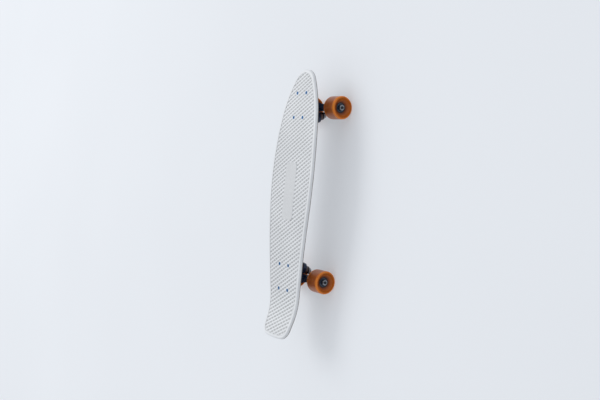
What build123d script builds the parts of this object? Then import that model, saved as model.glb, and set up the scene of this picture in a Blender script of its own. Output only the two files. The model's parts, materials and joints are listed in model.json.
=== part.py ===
from build123d import *
import os
from math import asin, cos, degrees, radians, sin

# A plastic cruiser skateboard, 27 by 7.5 inches, standing on its four wheels.
# +X points to the nose, +Y to the rider's left and +Z up. The origin is on the ground
# under the middle of the deck. All sizes are in millimetres.

# ---- wheels and ground ----
wheel_radius = 29.5
wheel_width = 45.0
wheel_outer_face = 86.0          # distance of a wheel's outer face from the middle plane
wheel_lip_round = 3.5            # rounding between tread and side faces
wheel_face_rim = 24.5            # radius where the dished side face begins
wheel_dish_floor = 14.0          # radius where the dish reaches the bearing seat
wheel_dish_depth = 10.1          # from the side face in to the bearing's face
wheel_dish_round = 16.0          # radius of the dish's hollow profile
wheel_bore = 8.5                 # radius of the bore between the two bearing seats

# ---- 608 ball bearing ----
bearing_outer_radius = 11.0
bearing_bore_radius = 4.0
bearing_width = 7.0
inner_ring_radius = 6.05
outer_ring_bore = 9.1
ball_count = 7
ball_radius = 3.969 / 2
ball_pitch_radius = 7.5
race_groove_radius = 2.06
shield_inner_radius = 6.3
shield_thickness = 0.4
shield_inset = 0.3               # the shields stand this far in from the bearing's faces
cage_thickness = 1.0
cage_width = 5.0

# ---- deck ----
deck_half_length = 345.2
camber_radius = 3120.0           # the deck's top is a crest, highest between the trucks
camber_middle_x = 31.8           # the trucks stand equally far from this plane
kick_start = 263.0               # from the camber's middle back to where the tail turns up
kick_radius = 186.0
kick_turn = 20.4                 # degrees, from the camber's slope to the tail's
tail_run = 60.0                  # straight run of the profile past the kick, trimmed to the outline
lip_depth = 8.0
lip_width = 5.0
skin_depth = 4.5
pad_depth = 16.0                 # deck top to the truck's seat
pad_length = 94.0
pad_width = 60.0
top_edge_round = 4.4
lip_edge_round = 1.0
rim_width = 8.0                  # smooth border round the non-slip field
field_depth = 1.1                # the non-slip field's floor below the rim
panel_length = 147.0             # plain raised panel in the middle of the field
panel_width = 48.0
panel_round = 9.0
bolt_boss_radius = 6.5
rib_width = 3.0
long_rib_offsets = (-46.0, -16.0, 16.0, 46.0)
cross_rib_pitch = 44.0
cross_rib_count = 13

# plan outline, from the nose's tip to the tail's corner, as radii and turns in degrees
nose_tip_radius, nose_tip_turn = 49.6, 57.4
nose_shoulder_radius, nose_shoulder_turn = 280.0, 22.3
flank_radius, flank_turn = 875.0, 16.6
taper_length = 289.47
tail_corner_radius, tail_corner_turn = 28.2, 78.3

# ---- deck bolts, old-school pattern ----
bolt_pattern_length = 63.5
bolt_pattern_width = 41.3
bolt_pattern_centres = 441.5     # between the middles of the two patterns
bolt_shank_radius = 2.4
bolt_hole_radius = 2.6
bolt_head_radius = 4.5
bolt_head_depth = 2.6
bolt_seat_gap = 0.04             # the countersink is wider than the head by this, all round
bolt_socket_width = 3.2
bolt_socket_depth = 1.8
bolt_length = 31.5
bolt_nut_width = 9.5
bolt_nut_height = 5.5
tip_chamfer = 0.6                # on the ends of the deck bolts and the kingpins

# ---- truck, in its own frame: +X outboard, +Z the deck's normal, origin on the deck's top ----
axle_outboard = 6.9
axle_depth = 73.4
plate_thickness = 6.0
plate_inboard = 46.0
plate_outboard = 42.0
plate_width = 56.0
plate_corner = 9.0
steer_tilt = 28.0                # the steering axis rises this much going outboard, degrees
kingpin_tilt = 22.0              # the kingpin leans this much from the deck's normal, degrees
kingpin_nut_outboard = -12.5
kingpin_nut_depth = 75.8
kingpin_radius = 4.75
kingpin_tip = 7.0                # shank past the middle of its nut
kingpin_under_head = 54.0        # distances along the kingpin, from the middle of its nut
kingpin_head_height = 5.5
kingpin_head_width = 14.3
kingpin_nut_height = 8.6
ring_middle = 21.5
ring_height = 11.0
ring_radius = 15.0
ring_bore = 8.0
seat_radius = 12.2
seat_depth = 1.8
road_washer_thickness = 2.0
road_washer_radius = 10.5
road_bushing_small = 9.5
bushing_radius = 11.9
bushing_bore = 5.1
bushing_round = 1.1
board_bushing_height = 13.0
board_washer_thickness = 2.0
board_washer_radius = 13.0
boss_radius = 14.0
pivot_reach = 54.0               # from the ring's middle to the middle of the pivot's ball
pivot_ball = 5.0
pivot_gap = 0.08
pivot_cup_radius = 7.6
pivot_cup_floor = 2.6
pivot_cup_mouth = 6.0
pivot_slot_start = 28.0          # the base plate is cleared for the pivot pin from here
pivot_housing_radius = 10.8
pivot_housing_floor = 3.0
axle_radius = 3.95
axle_half_length = 85.6
axle_thread_end = 83.2           # past here the axle is turned down to its thread's root
axle_pilot_radius = 3.4
axle_chamfer = 0.4
axle_centre_radius = 2.0         # lathe centre in each end of the axle
axle_centre_floor = 0.5
axle_centre_depth = 2.6
axle_bar_radius = 8.4
axle_bar_end_radius = 7.4
speed_washer_thickness = 1.0
speed_washer_radius = 6.4
axle_nut_width = 12.7
axle_nut_height = 6.0
nut_crown = 0.8                  # a nut's corners are turned off by this much at its far end
hanger_web = 13.0                # width of the hanger's middle web
hanger_arm_radius = 6.8
hanger_arm_start = 5.0           # along the steering axis, from the ring's middle
hanger_arm_end = 45.0
hanger_wing_reach = 44.0
cast_round = 1.5

# corners of cast shapes: (outboard, up) in the truck's frame for the base plate's spine
spine_half_width = 5.0
spine_corners = ((-26.0, -16.0), (36.0, -16.0), (27.0, -30.0), (-18.0, -32.0))
# (outboard, along the kingpin) from the middle of the kingpin's nut for the hanger's web
# and for the root and the tip of its wings
web_corners = (
    (13.0, 16.0), (13.0, 3.0), (18.9, -5.0), (27.2, -6.0), (42.0, 20.0), (42.0, 26.0), (13.0, 22.0)
)
wing_root_corners = ((14.5, 1.0), (26.0, -6.0), (39.0, 19.0), (28.0, 27.0))
wing_tip_corners = ((14.5, -5.0), (19.0, -9.5), (23.5, -5.0), (19.0, -0.5))

# ---- shaping and cutting tools reach past the part by these ----
overlap = 1.0                    # pieces of one moulding run into each other by this
overrun = 6.0
far = 200.0

# ---- worked out from the sizes above ----
wheel_middle = wheel_outer_face - wheel_width / 2
outer_bearing_face = wheel_outer_face - wheel_dish_depth
inner_bearing_face = wheel_outer_face - wheel_width + wheel_dish_depth
spacer_length = outer_bearing_face - inner_bearing_face - 2 * bearing_width
hanger_face = inner_bearing_face - speed_washer_thickness
truck_half_base = bolt_pattern_centres / 2
truck_slope = degrees(asin(truck_half_base / camber_radius))
truck_rise = camber_radius * (1 - cos(radians(truck_slope)))
axle_drop = axle_depth * cos(radians(truck_slope)) + axle_outboard * sin(radians(truck_slope))
deck_top = wheel_radius + axle_drop + truck_rise
road_seat = ring_middle - ring_height / 2 + seat_depth
board_seat = ring_middle + ring_height / 2 - seat_depth
boss_seat = board_seat + board_bushing_height + board_washer_thickness
pivot_cup_end = pivot_ball + pivot_gap + pivot_cup_floor
camber_centre_z = deck_top - camber_radius

parts = {}


def keep(name, *solids):
    """Add solids to the node of that name."""
    parts.setdefault(name, []).extend(solids)


# ---- deck ----
def outline(inset=0.0):
    """The deck's plan outline, moved inward by inset, as a face on the XY plane."""
    start = (deck_half_length - inset, 0)
    tip = JernArc(start, (0, 1), nose_tip_radius - inset, nose_tip_turn)
    shoulder = JernArc(tip @ 1, tip % 1, nose_shoulder_radius - inset, nose_shoulder_turn)
    flank = JernArc(shoulder @ 1, shoulder % 1, flank_radius - inset, flank_turn)
    taper = Line(flank @ 1, (flank @ 1) + (flank % 1) * taper_length)
    corner = JernArc(taper @ 1, taper % 1, tail_corner_radius - inset, tail_corner_turn)
    heading = corner % 1
    tail_radius = (corner @ 1).Y / -heading.X
    tail_turn = degrees(asin(-heading.X))
    tail = JernArc(corner @ 1, heading, tail_radius, tail_turn)
    half = [tip, shoulder, flank, taper, corner, tail]
    other = [edge.mirror(Plane.XZ) for edge in half]
    return make_face(Wire(half + other).edges())


def side_curve(depth):
    """The deck's top line moved down by depth, from past the nose to past the tail."""
    lead = degrees(asin((deck_half_length + overrun - camber_middle_x) / camber_radius))
    trail = degrees(asin(kick_start / camber_radius))
    radius = camber_radius - depth
    start = (
        camber_middle_x + radius * sin(radians(lead)),
        camber_centre_z + radius * cos(radians(lead)),
    )
    heading = (-cos(radians(lead)), sin(radians(lead)))
    camber = JernArc(start, heading, radius, lead + trail)
    kick = JernArc(camber @ 1, camber % 1, kick_radius + depth, -kick_turn)
    tail = Line(kick @ 1, (kick @ 1) + (kick % 1) * tail_run)
    return [camber, kick, tail]


def band(top_depth, bottom_depth):
    """A curved slab across the whole width, between two depths below the deck's top."""
    top = side_curve(top_depth)
    bottom = side_curve(bottom_depth)
    ends = [Line(top[0] @ 0, bottom[0] @ 0), Line(top[-1] @ 1, bottom[-1] @ 1)]
    face = make_face(Wire(top + bottom + ends).edges())
    return extrude(Plane.XZ * face, amount=far, both=True)


def prism(face):
    """A tall upright prism over a plan face."""
    return extrude(face, amount=far)


def truck_frame(end):
    """The truck's own frame: end is 1 at the nose and -1 at the tail."""
    x = camber_middle_x + end * truck_half_base
    turn = Rot(0, 0, 0 if end > 0 else 180)
    return Pos(x, 0, deck_top - truck_rise) * Rot(0, end * truck_slope, 0) * turn


def bolt_places():
    """Bolt axes in a truck's frame."""
    return GridLocations(bolt_pattern_length, bolt_pattern_width, 2, 2)


def border(body, way):
    """Edges round the outside of the faces that look up (way 1) or down (way -1)."""
    faces = [face for face in body.faces() if face.normal_at().Z * way > 0.7]
    edges = [edge for face in faces for edge in face.edges()]
    middles = [edge @ 0.5 for edge in edges]
    alone = []
    for edge, middle in zip(edges, middles):
        if sum((middle - other).length < 0.001 for other in middles) == 1:
            alone.append(edge)
    return alone


def underside_ribs():
    """Long and cross ribs under the skin."""
    blank = Part()
    for y in long_rib_offsets:
        blank += Pos(0, y, far / 2) * Box(2 * deck_half_length, rib_width, far)
    for number in range(cross_rib_count):
        x = (number - (cross_rib_count - 1) / 2) * cross_rib_pitch
        blank += Pos(x, 0, far / 2) * Box(rib_width, far, far)
    return blank & band(skin_depth - overlap, lip_depth) & prism(outline(lip_width - overlap))


def make_panel():
    """Flat raised panel in the middle of the field, level with the top of the camber."""
    plan = RectangleRounded(panel_length, panel_width, panel_round)
    bottom = deck_top - skin_depth + overlap
    return Pos(camber_middle_x, 0, bottom) * extrude(plan, amount=deck_top - bottom)


def make_pad():
    """Solid block under the skin that a truck is bolted to, in the truck's frame."""
    plan = RectangleRounded(pad_length, pad_width, plate_corner)
    middle = (plate_outboard - plate_inboard) / 2
    block = Pos(middle, 0, -pad_depth) * extrude(plan, amount=pad_depth - skin_depth / 2)
    return fillet(block.faces().sort_by(Axis.Z)[0].edges(), cast_round)


def make_deck():
    """Moulded deck: rim, recessed field, raised panel, lip, ribs, truck pads and bolt holes."""
    body = band(0, lip_depth) & prism(outline())
    body = fillet(border(body, 1), top_edge_round)
    body = fillet(border(body, -1), lip_edge_round)
    body -= band(skin_depth, lip_depth + overrun) & prism(outline(lip_width))
    body += underside_ribs()
    field = band(-overrun, field_depth) & prism(outline(rim_width))
    holes = []
    for end in (1, -1):
        frame = truck_frame(end)
        body += frame * make_pad()
        for place in bolt_places():
            field -= frame * place * Cylinder(bolt_boss_radius, 2 * pad_depth)
            holes.append(frame * place * bolt_hole())
    body = body - field + make_panel()
    for hole in holes:
        body -= hole
    return body


# ---- deck bolts ----
def bolt_hole():
    """Countersunk hole through the deck, the seat's rim at the origin."""
    slope = bolt_head_depth / (bolt_head_radius - bolt_shank_radius)
    rim = bolt_head_radius + bolt_seat_gap
    neck = slope * (bolt_hole_radius - rim)
    corners = [
        (0, -far),
        (bolt_hole_radius, -far),
        (bolt_hole_radius, neck),
        (rim, 0),
        (rim, overrun),
        (0, overrun),
    ]
    return revolve(Plane.XZ * Polygon(*corners, align=None), Axis.Z)


def bolt_head():
    """Countersunk head with its flat top at the origin."""
    middle = -bolt_head_depth / 2
    return Pos(0, 0, middle) * Cone(bolt_shank_radius, bolt_head_radius, bolt_head_depth)


def hexagon(width, height, level=0.0):
    """Upright hexagonal prism, its width across flats, standing on the given level."""
    plan = RegularPolygon(width / 2, 6, major_radius=False)
    return Pos(0, 0, level) * extrude(plan, amount=height)


def nut(width, height, bore):
    """Hexagonal lock nut standing on the XY plane, its far corners turned off."""
    body = hexagon(width, height)
    corner = width / 2 / cos(radians(30))
    cone = Cone(corner + height, corner - nut_crown, height + nut_crown)
    body &= Pos(0, 0, (height - nut_crown) / 2) * cone
    return body - Cylinder(bore, 3 * height)


def make_bolt():
    """Countersunk bolt hanging down from the origin, with a hexagonal socket."""
    shank = Pos(0, 0, -bolt_length / 2) * Cylinder(bolt_shank_radius, bolt_length)
    shank = chamfer(shank.edges().sort_by(Axis.Z)[0], tip_chamfer)
    socket = hexagon(bolt_socket_width, bolt_socket_depth + overrun, -bolt_socket_depth)
    return bolt_head() + shank - socket


# ---- truck ----
def kingpin_frame():
    """At the middle of the kingpin's nut, Z along the kingpin towards its head."""
    place = Pos(kingpin_nut_outboard, 0, -kingpin_nut_depth)
    return place * Rot(0, -kingpin_tilt, 0)


def pivot_frame():
    """At the middle of the hanger's ring, Z outboard along the steering axis."""
    middle = (kingpin_frame() * Pos(0, 0, ring_middle)).position
    return Pos(middle) * Rot(0, 90 - steer_tilt, 0)


def disc(radius, low, high, bore=0.0):
    """Upright cylinder between two levels, with an optional bore."""
    body = Pos(0, 0, (low + high) / 2) * Cylinder(radius, high - low)
    if bore:
        body -= Pos(0, 0, (low + high) / 2) * Cylinder(bore, high - low + 2)
    return body


def make_base_plate():
    """Cast base plate with kingpin boss, pivot housing and a spine between them."""
    length = plate_inboard + plate_outboard
    middle = (plate_outboard - plate_inboard) / 2
    plan = RectangleRounded(length, plate_width, plate_corner)
    plate = Pos(middle, 0, -pad_depth - plate_thickness) * extrude(plan, amount=plate_thickness)
    plate = fillet(plate.faces().sort_by(Axis.Z)[0].edges(), cast_round)
    boss = kingpin_frame() * disc(boss_radius, boss_seat, kingpin_under_head + boss_radius)
    socket_end = pivot_reach + pivot_cup_end
    housing_end = socket_end + pivot_housing_floor
    mouth = pivot_reach - pivot_cup_mouth
    housing = pivot_frame() * disc(pivot_housing_radius, mouth, housing_end)
    spine_side = Plane.XZ * Polygon(*spine_corners, align=None)
    spine = extrude(spine_side, amount=spine_half_width, both=True)
    body = plate + boss + housing + spine
    body -= Pos(0, 0, far / 2 - pad_depth) * Box(far, far, far)
    body -= kingpin_frame() * disc(kingpin_radius, 0, kingpin_under_head + overrun)
    recess = hexagon(kingpin_head_width, kingpin_head_height + far, kingpin_under_head)
    body -= kingpin_frame() * recess
    body -= pivot_frame() * disc(pivot_cup_radius, pivot_slot_start, socket_end)
    for place in bolt_places():
        body -= place * Cylinder(bolt_hole_radius, far)
    return body


def make_pivot_cup():
    """Cup that the hanger's ball-ended pin turns in."""
    low = pivot_reach - pivot_cup_mouth
    body = disc(pivot_cup_radius, low, pivot_reach + pivot_cup_end)
    bore = pivot_ball + pivot_gap
    body -= disc(bore, low - overrun, pivot_reach)
    body -= Pos(0, 0, pivot_reach) * Sphere(bore)
    return pivot_frame() * body


def make_kingpin():
    """Kingpin bolt: hexagonal head in the base plate, tip past the nut."""
    shank = disc(kingpin_radius, -kingpin_tip, kingpin_under_head)
    shank = chamfer(shank.edges().sort_by(Axis.Z)[0], tip_chamfer)
    head = hexagon(kingpin_head_width, kingpin_head_height, kingpin_under_head)
    return kingpin_frame() * (shank + head)


def make_kingpin_nut():
    """Lock nut under the road-side washer, its rounded side to the ground."""
    half = kingpin_nut_height / 2
    flipped = Pos(0, 0, half) * Rot(180, 0, 0)
    return kingpin_frame() * flipped * nut(kingpin_head_width, kingpin_nut_height, kingpin_radius)


def make_bushings():
    """Board-side barrel, road-side cone and their two washers, in that order."""
    road_low = kingpin_nut_height / 2
    cone_low = road_low + road_washer_thickness
    cone_height = road_seat - cone_low
    barrel_high = board_seat + board_bushing_height
    barrel = disc(bushing_radius, board_seat, barrel_high, bushing_bore)
    barrel = fillet(outer_circles(barrel, bushing_radius), bushing_round)
    cone = Pos(0, 0, cone_low + cone_height / 2) * Cone(road_bushing_small, bushing_radius, cone_height)
    cone = fillet(cone.edges().group_by(Axis.Z)[0], bushing_round)
    cone -= Cylinder(bushing_bore, far)
    top_washer = disc(board_washer_radius, barrel_high, boss_seat, kingpin_radius)
    low_washer = disc(road_washer_radius, road_low, cone_low, kingpin_radius)
    return [kingpin_frame() * piece for piece in (barrel, cone, top_washer, low_washer)]


def outer_circles(body, radius):
    """Circular edges of one radius."""
    circles = body.edges().filter_by(GeomType.CIRCLE)
    return circles.filter_by(lambda edge: abs(edge.radius - radius) < 0.01)


def section(points, y):
    """Polygon in the kingpin's own side view, moved sideways by y."""
    face = Polygon(*points, align=None)
    return kingpin_frame() * Pos(0, y, 0) * Rot(90, 0, 0) * face


def make_hanger():
    """Cast hanger: axle bar, bushing ring, pivot pin with a ball end, web and two wings."""
    half = Cone(axle_bar_radius, axle_bar_end_radius, hanger_face)
    bar = Pos(axle_outboard, 0, -axle_depth)
    body = bar * Rot(-90, 0, 0) * Pos(0, 0, hanger_face / 2) * half
    body += bar * Rot(90, 0, 0) * Pos(0, 0, hanger_face / 2) * half
    ring = disc(ring_radius, ring_middle - ring_height / 2, ring_middle + ring_height / 2)
    ring = fillet(outer_circles(ring, ring_radius), cast_round)
    body += kingpin_frame() * ring
    arm = disc(hanger_arm_radius, hanger_arm_start, hanger_arm_end)
    pin = disc(pivot_ball, hanger_arm_start, pivot_reach) + Pos(0, 0, pivot_reach) * Sphere(pivot_ball)
    body += pivot_frame() * (arm + pin)
    body += extrude(section(web_corners, 0), amount=hanger_web / 2, both=True)
    for side in (1, -1):
        root = section(wing_root_corners, side * hanger_web / 4)
        tip = section(wing_tip_corners, side * hanger_wing_reach)
        body += loft([root, tip], ruled=True)
    body -= kingpin_frame() * disc(ring_bore, road_seat - overrun, board_seat + overrun)
    body -= kingpin_frame() * disc(seat_radius, road_seat - 2 * ring_height, road_seat)
    body -= kingpin_frame() * disc(seat_radius, board_seat, board_seat + 2 * ring_height)
    return body - bar * Rot(90, 0, 0) * Cylinder(axle_radius, 3 * hanger_face)


# ---- wheels and bearings, each about its own Z, which points away from the board ----
def make_wheel():
    """Urethane wheel about Z, centred on its middle plane, with two bearing seats."""
    face = wheel_width / 2
    floor = face - wheel_dish_depth
    seat = floor - bearing_width
    lip = wheel_lip_round
    tread = Line((wheel_radius, 0), (wheel_radius, face - lip))
    corner = JernArc(tread @ 1, (0, 1), lip, 90)
    side = Line(corner @ 1, (wheel_face_rim, face))
    dish = RadiusArc((wheel_face_rim, face), (wheel_dish_floor, floor), wheel_dish_round)
    corners = [
        (wheel_dish_floor, floor),
        (bearing_outer_radius, floor),
        (bearing_outer_radius, seat),
        (wheel_bore, seat),
        (wheel_bore, 0),
        (wheel_radius, 0),
    ]
    edges = [tread, corner, side, dish]
    for start, end in zip(corners, corners[1:]):
        edges.append(Line(start, end))
    half = make_face(Wire(edges).edges())
    upper = revolve(Plane.XZ * half, Axis.Z)
    return upper + upper.mirror(Plane.XY)


def bearing_middles():
    """Middles of a wheel's two bearings along its axle, from the wheel's middle."""
    middle = (spacer_length + bearing_width) / 2
    return (middle, -middle)


def make_groove():
    """Ring that the balls' raceways are cut with."""
    circle = Pos(ball_pitch_radius, 0) * Circle(race_groove_radius)
    return revolve(Plane.XZ * circle, Axis.Z)


def make_inner_ring():
    half = bearing_width / 2
    return disc(inner_ring_radius, -half, half, bearing_bore_radius) - make_groove()


def make_outer_ring():
    half = bearing_width / 2
    return disc(bearing_outer_radius, -half, half, outer_ring_bore) - make_groove()


def make_shield(way):
    """Thin shield near the face of the bearing on the given side."""
    outer = way * (bearing_width / 2 - shield_inset)
    inner = outer - way * shield_thickness
    return disc(outer_ring_bore, min(outer, inner), max(outer, inner), shield_inner_radius)


def ball_places():
    return PolarLocations(ball_pitch_radius, ball_count)


def make_cage():
    """Ring that keeps the balls apart."""
    outer = ball_pitch_radius + cage_thickness / 2
    inner = ball_pitch_radius - cage_thickness / 2
    cage = disc(outer, -cage_width / 2, cage_width / 2, inner)
    for place in ball_places():
        cage -= place * Rot(0, 90, 0) * Cylinder(race_groove_radius, 4 * cage_thickness)
    return cage


def add_wheel(name, axle, side):
    """One wheel with the parts of its bearings that turn; side is 1 on the left."""
    hub = axle * Rot(-90 * side, 0, 0) * Pos(0, 0, wheel_middle)
    keep(name + "_wheel", hub * make_wheel())
    for middle in bearing_middles():
        place = hub * Pos(0, 0, middle)
        keep(name + "_bearing_outer_rings", place * make_outer_ring())
        keep(name + "_bearing_shields", place * make_shield(1), place * make_shield(-1))
        keep(name + "_bearing_cages", place * make_cage())
        for ball in ball_places():
            keep(name + "_bearing_balls", place * ball * Sphere(ball_radius))


def add_axle(name, axle):
    """The axle and what is clamped on it, which doesn't turn."""
    rod = disc(axle_pilot_radius, -axle_half_length, axle_half_length)
    rod = chamfer(rod.edges().filter_by(GeomType.CIRCLE), axle_chamfer)
    rod += disc(axle_radius, -axle_thread_end, axle_thread_end)
    centre = Cone(axle_centre_floor, axle_centre_radius, axle_centre_depth)
    centre = Pos(0, 0, axle_half_length - axle_centre_depth / 2) * centre
    rod -= centre
    rod -= Rot(180, 0, 0) * centre
    keep(name + "_axle", axle * Rot(90, 0, 0) * rod)
    for side in (1, -1):
        out = axle * Rot(-90 * side, 0, 0)
        washer = disc(speed_washer_radius, 0, speed_washer_thickness, axle_radius)
        keep(name + "_speed_washers", out * Pos(0, 0, hanger_face) * washer)
        keep(name + "_speed_washers", out * Pos(0, 0, outer_bearing_face) * washer)
        nut_face = outer_bearing_face + speed_washer_thickness
        fixed = nut(axle_nut_width, axle_nut_height, axle_radius)
        keep(name + "_axle_nuts", out * Pos(0, 0, nut_face) * fixed)
        for middle in bearing_middles():
            place = out * Pos(0, 0, wheel_middle + middle)
            keep(name + "_bearing_inner_rings", place * make_inner_ring())
        half = spacer_length / 2
        spacer = disc(inner_ring_radius, -half, half, bearing_bore_radius)
        keep(name + "_bearing_spacers", out * Pos(0, 0, wheel_middle) * spacer)


def add_truck(name, end):
    """One truck with its deck bolts, wheels and axle."""
    frame = truck_frame(end)
    keep(name + "_base_plate", frame * make_base_plate())
    keep(name + "_pivot_cup", frame * make_pivot_cup())
    keep(name + "_kingpin", frame * make_kingpin())
    keep(name + "_kingpin_nut", frame * make_kingpin_nut())
    barrel, cone, top_washer, low_washer = make_bushings()
    keep(name + "_board_bushing", frame * barrel)
    keep(name + "_road_bushing", frame * cone)
    keep(name + "_board_washer", frame * top_washer)
    keep(name + "_road_washer", frame * low_washer)
    keep(name + "_hanger", frame * make_hanger())
    bolt_nut = Rot(180, 0, 0) * nut(bolt_nut_width, bolt_nut_height, bolt_shank_radius)
    for place in bolt_places():
        keep("deck_bolts", frame * place * make_bolt())
        under = Pos(0, 0, -pad_depth - plate_thickness)
        keep("deck_nuts", frame * place * under * bolt_nut)
    axle = Pos((frame * Pos(axle_outboard, 0, -axle_depth)).position)
    add_axle(name, axle)
    add_wheel(name + "_left", axle, 1)
    add_wheel(name + "_right", axle, -1)


keep("deck", make_deck())
add_truck("front", 1)
add_truck("rear", -1)

os.makedirs("parts", exist_ok=True)
for name, shapes in parts.items():
    solids = [solid for shape in shapes for solid in shape.solids()]
    export_step(solids[0] if len(solids) == 1 else Compound(solids), f"parts/{name}.step")
    print(name, len(solids), round(sum(solid.volume for solid in solids), 2))
ring_point = (truck_frame(1) * pivot_frame()).position
ball_point = (truck_frame(1) * pivot_frame() * Pos(0, 0, pivot_reach)).position
axle_point = (truck_frame(1) * Pos(axle_outboard, 0, -axle_depth)).position
print("front steering axis from", ring_point, "to", ball_point)
print("front axle", axle_point, "deck top", deck_top)
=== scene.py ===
"""Looks of a plastic cruiser skateboard that stands on its four wheels.

Metres, +X to the nose, +Y to the left, +Z up, the ground at z = 0.
"""

import json
import math

import bmesh
import bpy
import numpy as np
from mathutils import Euler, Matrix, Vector
from mathutils.bvhtree import BVHTree
from mathutils.geometry import delaunay_2d_cdt


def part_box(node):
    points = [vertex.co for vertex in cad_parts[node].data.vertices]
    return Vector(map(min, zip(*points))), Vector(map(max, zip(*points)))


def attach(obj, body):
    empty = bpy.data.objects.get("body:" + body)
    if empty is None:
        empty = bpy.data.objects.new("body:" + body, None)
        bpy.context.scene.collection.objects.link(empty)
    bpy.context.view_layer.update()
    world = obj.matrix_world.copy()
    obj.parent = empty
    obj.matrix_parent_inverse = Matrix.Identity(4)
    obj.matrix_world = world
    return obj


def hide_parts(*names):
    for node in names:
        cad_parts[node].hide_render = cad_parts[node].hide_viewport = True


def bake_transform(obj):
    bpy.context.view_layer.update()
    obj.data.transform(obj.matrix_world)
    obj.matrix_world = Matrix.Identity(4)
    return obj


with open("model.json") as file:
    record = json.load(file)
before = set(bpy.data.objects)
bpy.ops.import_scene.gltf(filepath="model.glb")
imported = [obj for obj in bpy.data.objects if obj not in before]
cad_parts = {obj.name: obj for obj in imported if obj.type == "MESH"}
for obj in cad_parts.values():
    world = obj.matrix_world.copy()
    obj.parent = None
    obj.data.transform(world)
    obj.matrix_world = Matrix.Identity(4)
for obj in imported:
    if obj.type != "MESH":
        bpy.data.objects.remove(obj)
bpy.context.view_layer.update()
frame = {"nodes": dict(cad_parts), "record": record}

ENDS = ("front", "rear")
SIDES = ("left", "right")
DOWN = Vector((0, 0, -1))
GROUND = 0.0
RECESS_DEPTH = 1.1       # millimetres, of the recess in the deck's top that the pattern fills
BUSHING_RINGS = 10       # a soft bushing is cut into this many rings
BUSHING_BULGE = 0.05     # a squeezed bushing's waist is this much wider
BUSHING_SKIN = 0.007     # metres from the kingpin: nearer points are the bore and stay put


# ---------------------------------------------------------------- node helpers
RANGE_SOCKETS = ("From Min", "From Max", "To Min", "To Max")


class Shader:
    """A material under construction: one Principled shader and the nodes that feed it."""

    def __init__(self, name):
        self.material = bpy.data.materials.new(name)
        self.material.use_nodes = True
        self.nodes = self.material.node_tree.nodes
        self.links = self.material.node_tree.links
        self.nodes.clear()
        out = self.nodes.new("ShaderNodeOutputMaterial")
        self.body = self.nodes.new("ShaderNodeBsdfPrincipled")
        self.links.new(self.body.outputs[0], out.inputs["Surface"])

    def put(self, **values):
        """Sets sockets of the Principled shader; underscores stand for spaces."""
        for key, value in values.items():
            self.body.inputs[key.replace("_", " ")].default_value = value

    def link(self, output, target):
        """Feeds a socket of the Principled shader from a node's output."""
        self.links.new(output, self.body.inputs[target])

    def place(self, origin=(0.0, 0.0, 0.0), scale=(1.0, 1.0, 1.0)):
        """Object coordinates, moved so that origin is zero, then scaled."""
        coordinates = self.nodes.new("ShaderNodeTexCoord")
        moved = self.nodes.new("ShaderNodeVectorMath")
        moved.operation = "SUBTRACT"
        self.links.new(coordinates.outputs["Object"], moved.inputs[0])
        moved.inputs[1].default_value = origin
        scaled = self.nodes.new("ShaderNodeVectorMath")
        scaled.operation = "MULTIPLY"
        self.links.new(moved.outputs[0], scaled.inputs[0])
        scaled.inputs[1].default_value = scale
        return scaled.outputs[0]

    def split(self, vector):
        """The x, y and z of a vector."""
        parts = self.nodes.new("ShaderNodeSeparateXYZ")
        self.links.new(vector, parts.inputs[0])
        return parts.outputs

    def noise(self, scale, detail=3.0, roughness=0.55):
        node = self.nodes.new("ShaderNodeTexNoise")
        node.inputs["Scale"].default_value = scale
        node.inputs["Detail"].default_value = detail
        node.inputs["Roughness"].default_value = roughness
        self.links.new(self.place(), node.inputs["Vector"])
        return node.outputs["Fac"]

    def math(self, operation, first, second=0.0):
        """A Math node; each value is a number or an output."""
        node = self.nodes.new("ShaderNodeMath")
        node.operation = operation
        for socket, value in zip(node.inputs, (first, second)):
            if isinstance(value, (int, float)):
                socket.default_value = value
            else:
                self.links.new(value, socket)
        return node.outputs[0]

    def span(self, value, low, high, to_low=0.0, to_high=1.0):
        """Smooth step of value from low to high."""
        node = self.nodes.new("ShaderNodeMapRange")
        node.interpolation_type = "SMOOTHSTEP"
        self.links.new(value, node.inputs["Value"])
        for key, number in zip(RANGE_SOCKETS, (low, high, to_low, to_high)):
            node.inputs[key].default_value = number
        return node.outputs[0]

    def mix(self, amount, first, second):
        """Mix of two colours, each a tuple or an output."""
        node = self.nodes.new("ShaderNodeMix")
        node.data_type = "RGBA"
        self.links.new(amount, node.inputs[0])
        for socket, value in zip((node.inputs[6], node.inputs[7]), (first, second)):
            if isinstance(value, tuple):
                socket.default_value = (*value, 1.0)
            else:
                self.links.new(value, socket)
        return node.outputs[2]

    def bump(self, height, strength, distance):
        node = self.nodes.new("ShaderNodeBump")
        node.inputs["Strength"].default_value = strength
        node.inputs["Distance"].default_value = distance
        self.links.new(height, node.inputs["Height"])
        self.link(node.outputs[0], "Normal")


# ---------------------------------------------------------------- materials
CAMBER_RADIUS = 3.12     # metres, of the crest of the deck's top
KICK_START = 0.263       # from the crest back to where the tail turns up
KICK_RUN = 0.0656        # and from there to where it is straight
KICK_RISE = 2.88         # rise of the turn over the camber, by its run squared
TAIL_SLOPE = 0.39        # slope of the straight tail against the camber
PANEL_HALF = (0.0735, 0.024)    # half the raised panel's length and width
PANEL_EDGE = 0.0006      # the panel's texture fades out over this
RIM_SHADE_BAND = (0.0058, 0.0074, 0.0084, 0.0094)   # below the top: painted shade fades in, is full, and fades out again


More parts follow.
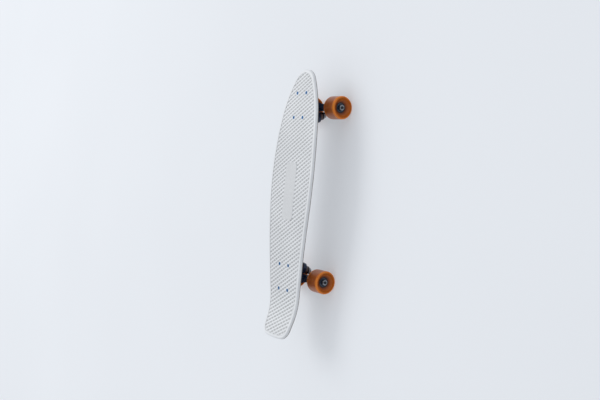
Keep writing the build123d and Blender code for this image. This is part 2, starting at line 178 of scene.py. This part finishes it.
def from_crest(shader):
    """Along and across from the middle of the deck's panel, and depth below the deck's top."""
    crest = next(m["pos_m"] for m in frame["record"]["mounts"] if m["name"] == "deck_panel")
    x, y, z = shader.split(shader.place(tuple(crest)))
    sag = shader.math("DIVIDE", shader.math("MULTIPLY", x, x), 2 * CAMBER_RADIUS)
    past = shader.math("MAXIMUM", shader.math("SUBTRACT", -KICK_START, x), 0.0)
    turn = shader.math("MINIMUM", past, KICK_RUN)
    rise = shader.math("MULTIPLY", shader.math("MULTIPLY", turn, turn), KICK_RISE)
    tail = shader.math("MULTIPLY", shader.math("SUBTRACT", past, turn), TAIL_SLOPE)
    lift = shader.math("SUBTRACT", shader.math("ADD", rise, tail), sag)
    return x, y, shader.math("SUBTRACT", lift, z)


def deck_shell(shader, colour):
    """Painted shade along the lower edge of the rim, and a matt, eroded texture on the panel."""
    x, y, depth = from_crest(shader)
    ragged = shader.math("ADD", depth, shader.math("MULTIPLY", shader.noise(90.0, 4.0), 0.0016))
    clean, grimy, still_grimy, clean_again = RIM_SHADE_BAND
    # painted shade: the lower edge of the rim's wall is darkened where it is in shade
    rim_shade = shader.math("MULTIPLY", shader.span(ragged, clean, grimy),
                        shader.span(depth, still_grimy, clean_again, 0.85, 0.0))
    colour = shader.mix(rim_shade, colour, (0.15, 0.125, 0.10))
    panel = shader.span(depth, 0.0006, 0.0010, 1.0, 0.0)
    for place, half in zip((x, y), PANEL_HALF):
        inside = shader.span(shader.math("ABSOLUTE", place), half - PANEL_EDGE, half, 1.0, 0.0)
        panel = shader.math("MULTIPLY", panel, inside)
    grain = shader.span(shader.noise(700.0, 3.0, 0.6), 0.35, 0.65, 0.25, 0.60)
    return shader.mix(shader.math("MULTIPLY", panel, grain), colour, (0.40, 0.405, 0.41))


def deck_plastic(name="deck_plastic", detail=deck_shell):
    """Off-white moulded plastic: satin, faintly mottled, with fine mould grain.

    The detail is a function that lays painted shade, dust and texture over the colour.
    """
    shader = Shader(name)
    mottle = shader.span(shader.noise(9.0, 4.0), 0.35, 0.65)
    colour = shader.mix(mottle, (0.690, 0.702, 0.718), (0.735, 0.747, 0.762))
    scuffs = shader.span(shader.noise(120.0, 6.0, 0.7), 0.60, 0.78)
    colour = shader.mix(shader.math("MULTIPLY", scuffs, 0.35), colour, (0.55, 0.55, 0.55))
    shader.link(detail(shader, colour), "Base Color")
    rough = shader.span(shader.noise(30.0, 3.0), 0.3, 0.7, 0.40, 0.54)
    shader.link(rough, "Roughness")
    shader.bump(shader.noise(1800.0, 2.0), 0.12, 0.0002)
    return shader.material


def blue_bolt():
    """Blue painted steel with a little wear."""
    shader = Shader("blue_bolt")
    wear = shader.span(shader.noise(900.0, 4.0), 0.62, 0.74)
    shader.link(shader.mix(wear, (0.022, 0.125, 0.300), (0.08, 0.20, 0.36)), "Base Color")
    shader.put(Roughness=0.38, Metallic=0.35)
    return shader.material


def navy_truck():
    """Cast aluminium under dark navy satin paint, with a slight cast texture."""
    shader = Shader("navy_truck")
    tone = shader.span(shader.noise(60.0, 4.0), 0.35, 0.65)
    colour = shader.mix(tone, (0.005, 0.012, 0.034), (0.010, 0.021, 0.056))
    nicks = shader.span(shader.noise(260.0, 5.0, 0.7), 0.70, 0.76)
    colour = shader.mix(shader.math("MULTIPLY", nicks, 0.5), colour, (0.10, 0.11, 0.13))
    shader.link(colour, "Base Color")
    shader.link(shader.span(shader.noise(140.0), 0.3, 0.7, 0.30, 0.46), "Roughness")
    shader.put(Coat_Weight=0.12, Coat_Roughness=0.25, Specular_IOR_Level=0.35)
    shader.bump(shader.noise(900.0, 3.0), 0.25, 0.0002)
    return shader.material


def zinc_steel():
    """Zinc-plated steel, softly brushed."""
    shader = Shader("zinc_steel")
    tone = shader.span(shader.noise(300.0, 3.0), 0.3, 0.7)
    shader.link(shader.mix(tone, (0.24, 0.25, 0.27), (0.36, 0.37, 0.39)), "Base Color")
    shader.link(shader.span(shader.noise(500.0), 0.3, 0.7, 0.22, 0.38), "Roughness")
    shader.put(Metallic=1.0)
    return shader.material


def axle_steel():
    """Bare steel of the axles and the bushings' washers, darkened as painted shade for the shaded
    hollow ends of the axles.
    """
    shader = Shader("axle_steel")
    tone = shader.span(shader.noise(300.0, 3.0), 0.3, 0.7)
    shader.link(shader.mix(tone, (0.040, 0.044, 0.052), (0.075, 0.080, 0.090)), "Base Color")
    shader.put(Metallic=1.0, Roughness=0.35)
    return shader.material


def bearing_steel():
    """Bearing steel, dark with oil."""
    shader = Shader("bearing_steel")
    tone = shader.span(shader.noise(400.0, 3.0), 0.3, 0.7)
    shader.link(shader.mix(tone, (0.045, 0.055, 0.075), (0.085, 0.10, 0.13)), "Base Color")
    shader.put(Metallic=1.0, Roughness=0.3)
    return shader.material


def dark_shield():
    """Blue-black bearing shield."""
    shader = Shader("dark_shield")
    tone = shader.span(shader.noise(700.0, 3.0), 0.3, 0.7)
    shader.link(shader.mix(tone, (0.004, 0.010, 0.024), (0.008, 0.019, 0.044)), "Base Color")
    shader.put(Roughness=0.25)
    return shader.material


def cage_plastic():
    """Pale nylon."""
    shader = Shader("cage_plastic")
    tone = shader.span(shader.noise(500.0), 0.3, 0.7)
    shader.link(shader.mix(tone, (0.60, 0.58, 0.52), (0.70, 0.68, 0.62)), "Base Color")
    shader.put(Roughness=0.5)
    return shader.material


def black_urethane():
    """Black urethane of the pivot cups."""
    shader = Shader("black_urethane")
    tone = shader.span(shader.noise(500.0), 0.3, 0.7)
    shader.link(shader.mix(tone, (0.010, 0.010, 0.011), (0.022, 0.022, 0.024)), "Base Color")
    shader.put(Roughness=0.45)
    return shader.material


def amber_bushing():
    """Amber urethane of the bushings, darkened as painted shade for where they sit in shade inside
    the trucks.
    """
    shader = Shader("amber_bushing")
    tone = shader.span(shader.noise(120.0, 4.0), 0.3, 0.7)
    shader.link(shader.mix(tone, (0.050, 0.012, 0.004), (0.090, 0.022, 0.006)), "Base Color")
    shader.put(Roughness=0.35, Coat_Weight=0.3, Coat_Roughness=0.2)
    return shader.material


def amber_urethane(name, centre, half_width, radius):
    """Cast amber urethane of one wheel: painted shade deep in the dish and in the gap around the
    bearing, painted light where light shines through, and a painted highlight on the lip.
    """
    shader = Shader(name)
    x, y, z = shader.split(shader.place(tuple(centre)))
    squares = shader.math("ADD", shader.math("MULTIPLY", x, x), shader.math("MULTIPLY", z, z))
    from_axle = shader.math("SQRT", squares)
    sideways = shader.math("ABSOLUTE", y)
    cloud = shader.noise(140.0, 5.0, 0.6)
    amber = shader.mix(shader.span(cloud, 0.3, 0.7), (0.360, 0.074, 0.002), (0.430, 0.100, 0.003))
    # painted light: lighter amber in the outer dish, for light shining through the urethane
    glow = shader.math("MULTIPLY", shader.span(from_axle, radius * 0.50, radius * 0.82),
                       shader.span(from_axle, radius * 0.88, radius * 0.97, 1.0, 0.0))
    amber = shader.mix(glow, amber, (0.470, 0.115, 0.008))
    # painted shade: the dish darkens towards the bearing, as if shaded in its hollow
    depth = shader.span(from_axle, radius * 0.40, radius * 0.72)
    amber = shader.mix(depth, (0.085, 0.016, 0.002), amber)
    # painted shade: a near-black ring for the shaded gap around the bearing
    bearing_gap_shade = shader.span(from_axle, radius * 0.42, radius * 0.47)
    amber = shader.mix(bearing_gap_shade, (0.006, 0.006, 0.008), amber)
    frayed = shader.math("ADD", sideways, shader.math("MULTIPLY", cloud, half_width * 0.10))
    # painted highlight: a bright orange ring on the lip and the tread next to it
    outer = shader.span(from_axle, radius * 0.84, radius * 0.96)
    lip_highlight = shader.math("MULTIPLY", outer, shader.span(frayed, half_width * 0.62, half_width * 0.98))
    colour = shader.mix(lip_highlight, amber, (0.720, 0.210, 0.020))
    tread = shader.math("MULTIPLY", shader.span(from_axle, radius * 0.96, radius * 0.99),
                        shader.span(frayed, half_width * 0.70, half_width * 0.95, 1.0, 0.0))
    dust = shader.span(shader.noise(60.0, 4.0, 0.5), 0.30, 0.80, 0.05, 0.12)
    worn = shader.math("MULTIPLY", tread, dust)
    shader.link(shader.mix(worn, colour, (0.45, 0.33, 0.28)), "Base Color")
    shader.link(shader.span(worn, 0.0, 0.14, 0.28, 0.38), "Roughness")
    shader.put(Subsurface_Weight=0.2, Subsurface_Scale=0.003, Specular_IOR_Level=0.28,
               Sheen_Weight=0.03, Sheen_Roughness=0.4)
    shader.body.inputs["Sheen Tint"].default_value = (1.0, 0.90, 0.87, 1.0)
    shader.body.inputs["Subsurface Radius"].default_value = (1.0, 0.30, 0.05)
    shader.bump(shader.noise(260.0, 3.0, 0.45), 0.05, 0.0002)
    return shader.material


def finish_node(name, material):
    """Gives a CAD node its material in every slot."""
    mesh = frame["nodes"][name].data
    mesh.materials.clear()
    mesh.materials.append(material)
    for face in mesh.polygons:
        face.material_index = 0


def finish_all_nodes():
    """Gives the CAD nodes their slots' materials; wheels, axles and washers have their own."""
    makers = (
        deck_plastic, blue_bolt, navy_truck, zinc_steel, axle_steel, bearing_steel,
        dark_shield, cage_plastic, black_urethane, amber_bushing,
    )
    made = {maker.__name__: maker() for maker in makers}
    for part in frame["record"]["subparts"]:
        if part["material_slot"] in made:
            finish_node(part["node"], made[part["material_slot"]])
    for end in ENDS:
        for piece in ("axle", "board_washer", "road_washer"):
            finish_node(f"{end}_{piece}", made["axle_steel"])
        for side in SIDES:
            name = f"{end}_{side}_wheel"
            low, high = (Vector(corner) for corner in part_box(name))
            size = high - low
            material = amber_urethane(name + "_urethane", (low + high) / 2, size.y / 2, size.z / 2)
            finish_node(name, material)
    return made


# ---------------------------------------------------------------- the deck's non-slip pattern
# Lengths in millimetres.
PIT_STEP_X = 5.26        # half a pit's cell along the board
PIT_STEP_Y = 9.43        # and across it
RIDGE_WIDTHS = (3.6, 1.6)    # flat tops of the main ridges and of the cross ridges
FLANK_WIDTH = 0.9        # of a ridge's sloped side, in plan
RIDGE_DROP = 0.10        # the main ridges' tops stand this far below the rim
SADDLE = 0.35            # the cross ridges are lower, by this share of the depth
PIT_LIFT = 0.06          # the pit floors stand this far above the CAD recess
ROOT_DEPTH = 0.4         # the moulding goes down into the deck by this
GROOVE_FLOOR = 0.8       # width of the groove along the rim, at its foot
GROOVE_TOP = 1.7         # and at its top


def joined(mesh):
    """A copy of a mesh as a bmesh with its corners joined up again and everything numbered."""
    copy = bmesh.new()
    copy.from_mesh(mesh)
    bmesh.ops.remove_doubles(copy, verts=copy.verts, dist=1e-6)
    copy.verts.index_update()
    copy.faces.index_update()
    return copy


def recess_faces(deck):
    """The faces of the recess's floor: the largest patch that faces up.

    They come in the order of their numbers, because a set's order differs from run to run.
    """
    waiting = {face for face in deck.faces if face.normal.z > 0.5}
    best, best_area = [], 0.0
    while waiting:
        patch, edge_on = [], [waiting.pop()]
        while edge_on:
            face = edge_on.pop()
            patch.append(face)
            near = {other for edge in face.edges for other in edge.link_faces} & waiting
            waiting -= near
            edge_on.extend(near)
        area = sum(face.calc_area() for face in patch)
        if area > best_area:
            best, best_area = patch, area
    return sorted(best, key=lambda face: face.index)


def ridge_edges():
    """For the main and the cross ridges: the shares of a cell at a flank's top and at its foot."""
    half_pitch = PIT_STEP_X * PIT_STEP_Y / math.hypot(PIT_STEP_X, PIT_STEP_Y)
    tops = [1 - width / 2 / half_pitch for width in RIDGE_WIDTHS]
    return [(top, top - FLANK_WIDTH / half_pitch) for top in tops]


def pattern_lines(low, high):
    """Points and lines of the flanks of every pit between two corners, in millimetres in plan."""
    rows, columns = ([-1.0, -top, -foot, foot, top, 1.0] for top, foot in ridge_edges())
    side = len(columns)
    points, lines = [], []
    for along in range(int(low[0] // PIT_STEP_X), int(high[0] // PIT_STEP_X) + 2):
        for across in range(int(low[1] // PIT_STEP_Y), int(high[1] // PIT_STEP_Y) + 2):
            if (along + across) % 2:
                continue
            first = len(points)
            for row in rows:
                for column in columns:
                    x = (along + (row + column) / 2) * PIT_STEP_X
                    points.append((x, (across + (row - column) / 2) * PIT_STEP_Y))
            for line in range(1, side - 1):
                for step in range(side - 1):
                    here, there = first + side * line + step, first + side * step + line
                    lines += [(here, here + 1), (there, there + side)]
    return points, lines


def pit_depth(x, y):
    """Depth of the pattern at a point: 0 on a main ridge, 1 on a pit's floor."""
    depth = 1.0
    turned = (x / PIT_STEP_X + y / PIT_STEP_Y, x / PIT_STEP_X - y / PIT_STEP_Y)
    for value, (top, foot), least in zip(turned, ridge_edges(), (0.0, SADDLE)):
        share = abs(value / 2 - round(value / 2)) * 2
        down = min(max((top - share) / (top - foot), 0.0), 1.0)
        depth *= least + (1 - least) * down
    return depth


def pit_dust(shader, colour):
    """Dust and painted shade in the pits, and a little on the cross ridges, by the same rule in
    nodes.
    """
    scale = (1000 / PIT_STEP_X, 1000 / PIT_STEP_Y, 1.0)
    x, y = shader.split(shader.place(scale=scale))[:2]
    dust = shader.span(shader.noise(35.0, 4.0, 0.6), 0.3, 0.7, 0.60, 0.75)
    for operation, (top, foot), least in zip(("ADD", "SUBTRACT"), ridge_edges(), (0.0, SADDLE)):
        share = shader.math("PINGPONG", shader.math(operation, x, y), 1.0)
        down = shader.span(share, foot - 0.1, top, 1.0, least)
        dust = shader.math("MULTIPLY", down, dust)
    # dust and painted shade: the pits are darkened both for dust and for the shade inside them
    return shader.mix(dust, colour, (0.27, 0.272, 0.275))


def outline(border):
    """The longest loop of the border's edges, as points in millimetres in plan."""
    nexts = {}
    for edge in border:
        for one, other in (edge.verts, reversed(edge.verts)):
            nexts.setdefault(one, []).append(other)
    waiting, best, best_length = set(nexts), [], 0.0
    while waiting:
        here = min(waiting, key=lambda vertex: vertex.index)
        loop = []
        while here is not None:
            loop.append(here)
            waiting.discard(here)
            here = next((other for other in nexts[here] if other in waiting), None)
        closed = zip(loop, loop[1:] + loop[:1])
        length = sum((one.co - other.co).length for one, other in closed)
        if length > best_length:
            best, best_length = loop, length
    return np.array([vertex.co[:2] for vertex in best]) * 1000


def moved_in(loop, distance):
    """The loop, moved inwards by a distance."""
    along = np.roll(loop, -1, axis=0) - np.roll(loop, 1, axis=0)
    along /= np.linalg.norm(along, axis=1)[:, None]
    left = np.stack((-along[:, 1], along[:, 0]), axis=1)
    x, y = loop.T
    turn = np.sign(np.sum(x * np.roll(y, -1) - np.roll(x, -1) * y))
    return loop + left * turn * distance


def from_loop(points, loop):
    """Each point's distance from the loop."""
    ends = np.roll(loop, -1, axis=0)
    nearest = np.full(len(points), np.inf)
    for start, run in zip(loop, ends - loop):
        share = np.clip((points - start) @ run / max(run @ run, 1e-12), 0, 1)
        gap = points - start - share[:, None] * run
        nearest = np.minimum(nearest, np.hypot(gap[:, 0], gap[:, 1]))
    return nearest


def recess_of(deck):
    """The recess in a deck's bmesh: its floor as a tree and as points, its border, its outline."""
    faces = recess_faces(deck)
    corners = sorted({vertex for face in faces for vertex in face.verts}, key=lambda v: v.index)
    numbers = {vertex: number for number, vertex in enumerate(corners)}
    places = [vertex.co.copy() for vertex in corners]
    floor = BVHTree.FromPolygons(places, [[numbers[v] for v in face.verts] for face in faces])
    inside = set(faces)
    border = [
        edge for face in faces for edge in face.edges
        if sum(other in inside for other in edge.link_faces) == 1
    ]
    borders = [[(end.co.x * 1000, end.co.y * 1000) for end in edge.verts] for edge in border]
    return floor, places, borders, outline(border)


def pattern_plan(places, borders, rim):
    """The pattern in plan: points in millimetres, and polygons that end at its lines and border."""
    low = [min(place[axis] for place in places) * 1000 for axis in range(2)]
    high = [max(place[axis] for place in places) * 1000 for axis in range(2)]
    points, lines = pattern_lines(low, high)
    for ends in borders:
        lines.append((len(points), len(points) + 1))
        points += ends
    for distance in (GROOVE_FLOOR, GROOVE_TOP):
        first, loop = len(points), moved_in(rim, distance)
        points += [tuple(point) for point in loop]
        lines += [(first + i, first + (i + 1) % len(loop)) for i in range(len(loop))]
    flat = [Vector(point) for point in points]
    plan, _, pieces = delaunay_2d_cdt(flat, lines, [], 0, 1e-4)[:3]
    return plan, pieces


def floor_at(floor, x, y, height):
    """Point and normal of the recess's floor at a point in millimetres in plan."""
    place, normal = floor.ray_cast(Vector((x, y, 1000)) / 1000, DOWN)[:2]
    if place is None:
        guess = floor.find_nearest(Vector((x / 1000, y / 1000, height)))[0]
        place, normal = floor.find_nearest(Vector((x / 1000, y / 1000, guess.z)))[:2]
    return place, normal


def closed_faces(pieces, tops, roots):
    """The faces of a closed body: polygons on top, the same below, and walls between them."""
    faces = []
    for piece in pieces:
        faces.append([tops[number] for number in piece])
        faces.append([roots[number] for number in reversed(piece)])
    used = dict.fromkeys(
        ends for piece in pieces for ends in zip(piece, piece[1:] + piece[:1])
    )
    for start, end in used:
        if (end, start) not in used:
            faces.append([tops[end], tops[start], roots[start], roots[end]])
    return faces


def add_grip(material, recess_depth):
    """Raised mesh of diamond pits that fills the recess in the deck's top."""
    deck = joined(frame["nodes"]["deck"].data)
    floor, places, borders, rim = recess_of(deck)
    deck.free()
    plan, pieces = pattern_plan(places, borders, rim)
    from_rim = from_loop(np.array([point[:] for point in plan]), rim)
    kept = []
    for piece in pieces:
        middle = sum((plan[number] for number in piece), Vector((0, 0))) / len(piece) / 1000
        if floor.ray_cast(Vector((middle.x, middle.y, 1)), DOWN)[0] is not None:
            kept.append(piece)

    grip = bmesh.new()
    tops, roots = {}, {}
    for number in sorted({number for piece in kept for number in piece}):
        x, y = plan[number]
        place, normal = floor_at(floor, x, y, places[0].z)
        edge = (GROOVE_TOP - from_rim[number]) / (GROOVE_TOP - GROOVE_FLOOR)
        depth = max(pit_depth(x, y), min(edge, 1.0))
        rise = recess_depth - RIDGE_DROP
        rise += depth * (PIT_LIFT - rise)
        tops[number] = grip.verts.new(place + normal * rise / 1000)
        roots[number] = grip.verts.new(place - normal * ROOT_DEPTH / 1000)
    for corners in closed_faces(kept, tops, roots):
        grip.faces.new(corners)
    bmesh.ops.recalc_face_normals(grip, faces=grip.faces)
    mesh = bpy.data.meshes.new("grip")
    grip.to_mesh(mesh)
    grip.free()
    piece = bpy.data.objects.new("grip", mesh)
    mesh.materials.append(material)
    bpy.context.collection.objects.link(piece)
    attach(piece, "deck")


# ---------------------------------------------------------------- bushings
def washer_axis(node):
    """Middle and unit axis of a flat round washer."""
    points = np.array([vertex.co for vertex in frame["nodes"][node].data.vertices])
    middle = points.mean(axis=0)
    axis = np.linalg.svd(points - middle, full_matrices=False)[2][2]
    return Vector(middle), Vector(axis).normalized()


def add_bushing(end, name, material):
    """A bushing between the deck and the hanger, cut into rings and with its waist bulged out."""
    node = f"{end}_{name}_bushing"
    washer, axis = washer_axis(f"{end}_{name}_washer")
    mesh = joined(frame["nodes"][node].data)
    middle = sum((vertex.co for vertex in mesh.verts), Vector()) / len(mesh.verts)
    if (middle - washer).dot(axis) < 0:
        axis = -axis
    levels = [(vertex.co - washer).dot(axis) for vertex in mesh.verts]
    near, distant = min(levels), max(levels)
    for number in range(1, BUSHING_RINGS):
        level = near + (distant - near) * number / BUSHING_RINGS
        cut = mesh.verts[:] + mesh.edges[:] + mesh.faces[:]
        bmesh.ops.bisect_plane(mesh, geom=cut, plane_co=washer + axis * level, plane_no=axis)
    for vertex in mesh.verts:
        level = (vertex.co - washer).dot(axis)
        out = vertex.co - washer - axis * level
        share = (level - near) / (distant - near)
        vertex.co += out * BUSHING_BULGE * 4 * share * (1 - share) * (out.length > BUSHING_SKIN)
    piece_mesh = bpy.data.meshes.new(node + "_soft")
    mesh.to_mesh(piece_mesh)
    mesh.free()
    for face in piece_mesh.polygons:
        face.use_smooth = abs(face.normal.dot(axis)) < 0.9
    piece = bpy.data.objects.new(node + "_soft", piece_mesh)
    piece_mesh.materials.append(material)
    bpy.context.collection.objects.link(piece)
    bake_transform(piece)
    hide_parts(node)


# ---------------------------------------------------------------- stage
SENSOR_WIDTH = 36.0      # millimetres
FOCAL_LENGTH = 55.84     # millimetres
CAMERA_PLACE = (0.0692, -2.0096, 1.3814)
CAMERA_TURNS = (7.0931, 56.6987, -79.8755)    # degrees about x, y and z


def add_floor():
    """A plain pale floor with a weak glow of its own, which softens the shadow."""
    bpy.ops.mesh.primitive_plane_add(size=200, location=(0, 0, GROUND))
    floor = bpy.context.object
    floor.name = "floor"
    shader = Shader("pale_floor")
    tone = shader.span(shader.noise(0.6, 2.0), 0.3, 0.7)
    shader.link(shader.mix(tone, (0.44, 0.455, 0.475), (0.46, 0.475, 0.495)), "Base Color")
    shader.put(Roughness=0.9, Emission_Color=(0.92, 0.95, 1.0, 1.0), Emission_Strength=0.34)
    floor.data.materials.append(shader.material)


def add_area_light(name, place, target, size, power, colour):
    """A round lamp that faces a target."""
    data = bpy.data.lights.new(name, "AREA")
    data.shape = "DISK"
    data.size = size
    data.energy = power
    data.color = colour
    light = bpy.data.objects.new(name, data)
    light.location = place
    direction = Vector(target) - Vector(place)
    light.rotation_euler = direction.to_track_quat("-Z", "Y").to_euler()
    bpy.context.collection.objects.link(light)


def add_world():
    """Studio air: bright from the left and above, dim from the near side, pale at the horizon."""
    world = bpy.data.worlds.new("studio")
    world.use_nodes = True
    nodes, links = world.node_tree.nodes, world.node_tree.links
    direction = nodes.new("ShaderNodeTexCoord").outputs["Generated"]

    def ramp(value, *numbers):
        node = nodes.new("ShaderNodeMapRange")
        node.interpolation_type = "SMOOTHSTEP"
        links.new(value, node.inputs["Value"])
        for key, number in zip(RANGE_SOCKETS, numbers):
            if isinstance(number, float):
                node.inputs[key].default_value = number
            else:
                links.new(number, node.inputs[key])
        return node.outputs["Result"]

    toward = nodes.new("ShaderNodeVectorMath")
    toward.operation = "DOT_PRODUCT"
    links.new(direction, toward.inputs[0])
    toward.inputs[1].default_value = Vector((0.20, 0.50, 0.84)).normalized()
    sky = ramp(toward.outputs["Value"], -0.6, 0.9, 0.40, 0.88)
    height = nodes.new("ShaderNodeSeparateXYZ")
    links.new(direction, height.inputs[0])
    strength = ramp(height.outputs["Z"], 0.06, 0.30, 0.74, sky)
    background = nodes["Background"]
    background.inputs["Color"].default_value = (0.93, 0.96, 1.0, 1.0)
    links.new(strength, background.inputs["Strength"])
    bpy.context.scene.world = world


def add_camera():
    """Camera above and beside the board, rolled so that the nose points up."""
    data = bpy.data.cameras.new("camera")
    data.sensor_width = SENSOR_WIDTH
    data.lens = FOCAL_LENGTH
    camera = bpy.data.objects.new("camera", data)
    camera.location = CAMERA_PLACE
    camera.rotation_euler = Euler([math.radians(turn) for turn in CAMERA_TURNS], "XYZ")
    bpy.context.collection.objects.link(camera)
    bpy.context.scene.camera = camera


made = finish_all_nodes()
add_grip(deck_plastic("deck_plastic_pits", pit_dust), RECESS_DEPTH)
for end in ENDS:
    for name in ("board", "road"):
        add_bushing(end, name, made["amber_bushing"])
add_floor()
add_world()
add_area_light("key", (2.4, 4.0, 5.6), (0, 0, 0.05), 4.6, power=190.0, colour=(1.0, 0.985, 0.97))
add_camera()
bpy.context.scene.view_settings.view_transform = "Standard"
